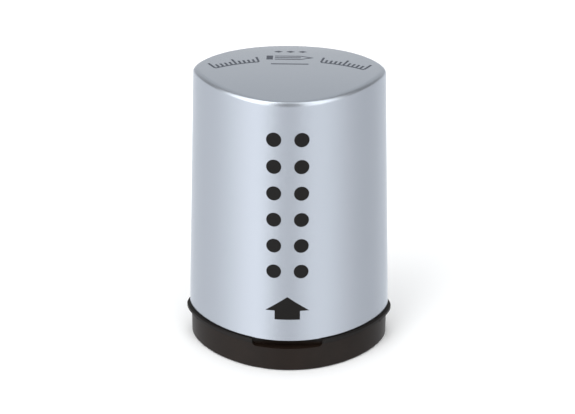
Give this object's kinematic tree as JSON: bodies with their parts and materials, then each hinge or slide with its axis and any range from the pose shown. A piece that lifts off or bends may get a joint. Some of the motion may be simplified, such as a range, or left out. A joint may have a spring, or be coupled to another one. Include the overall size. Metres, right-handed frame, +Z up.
{
  "type": "pencil sharpener",
  "caption": "Oval canister pencil sharpener: a wedge sharpener stands on a black foot under a pull-off silver cover with soft grip dots, a vaulted top and a release arrow.",
  "frame": {"origin": "centre of the foot's footprint, on the surface that it stands on", "axes": "+Z up, towards the closed top of the cover; -Y towards the front with the arrow and the finger notch; X along the long way of the oval"},
  "size_m": [0.0298, 0.0231, 0.0419],
  "materials": {
    "silver_lacquer": "satin silver lacquer on moulded plastic",
    "foot_plastic": "fine satin, warm black, moulded",
    "carrier_plastic": "satin black, moulded",
    "soft_dots": "matt soft-touch black",
    "arrow_inlay": "matt black",
    "sharpener_metal": "die-cast light alloy, fine satin",
    "blade_steel": "ground and brushed",
    "screw_steel": "turned, nickel plated"
  },
  "bodies": {
    "base": {"base_plinth": "foot_plastic", "carrier": "carrier_plastic", "sharpener_body": "sharpener_metal", "blade": "blade_steel", "blade_screw": "screw_steel"},
    "cover": {"cover_shell": "silver_lacquer", "release_arrow": "arrow_inlay", "grip_dot_front_left_1": "soft_dots", "grip_dot_front_left_2": "soft_dots", "grip_dot_front_left_3": "soft_dots", "grip_dot_front_left_4": "soft_dots", "grip_dot_front_left_5": "soft_dots", "grip_dot_front_left_6": "soft_dots", "grip_dot_front_right_1": "soft_dots", "grip_dot_front_right_2": "soft_dots", "grip_dot_front_right_3": "soft_dots", "grip_dot_front_right_4": "soft_dots", "grip_dot_front_right_5": "soft_dots", "grip_dot_front_right_6": "soft_dots", "grip_dot_rear_left_1": "soft_dots", "grip_dot_rear_left_2": "soft_dots", "grip_dot_rear_left_3": "soft_dots", "grip_dot_rear_left_4": "soft_dots", "grip_dot_rear_left_5": "soft_dots", "grip_dot_rear_left_6": "soft_dots", "grip_dot_rear_right_1": "soft_dots", "grip_dot_rear_right_2": "soft_dots", "grip_dot_rear_right_3": "soft_dots", "grip_dot_rear_right_4": "soft_dots", "grip_dot_rear_right_5": "soft_dots", "grip_dot_rear_right_6": "soft_dots"}
  },
  "joints": [
    {"name": "cover_lift", "type": "slide", "parent": "base", "child": "cover", "axis": [0, 0, 1], "range_m": [0, 0.036]}
  ]
}
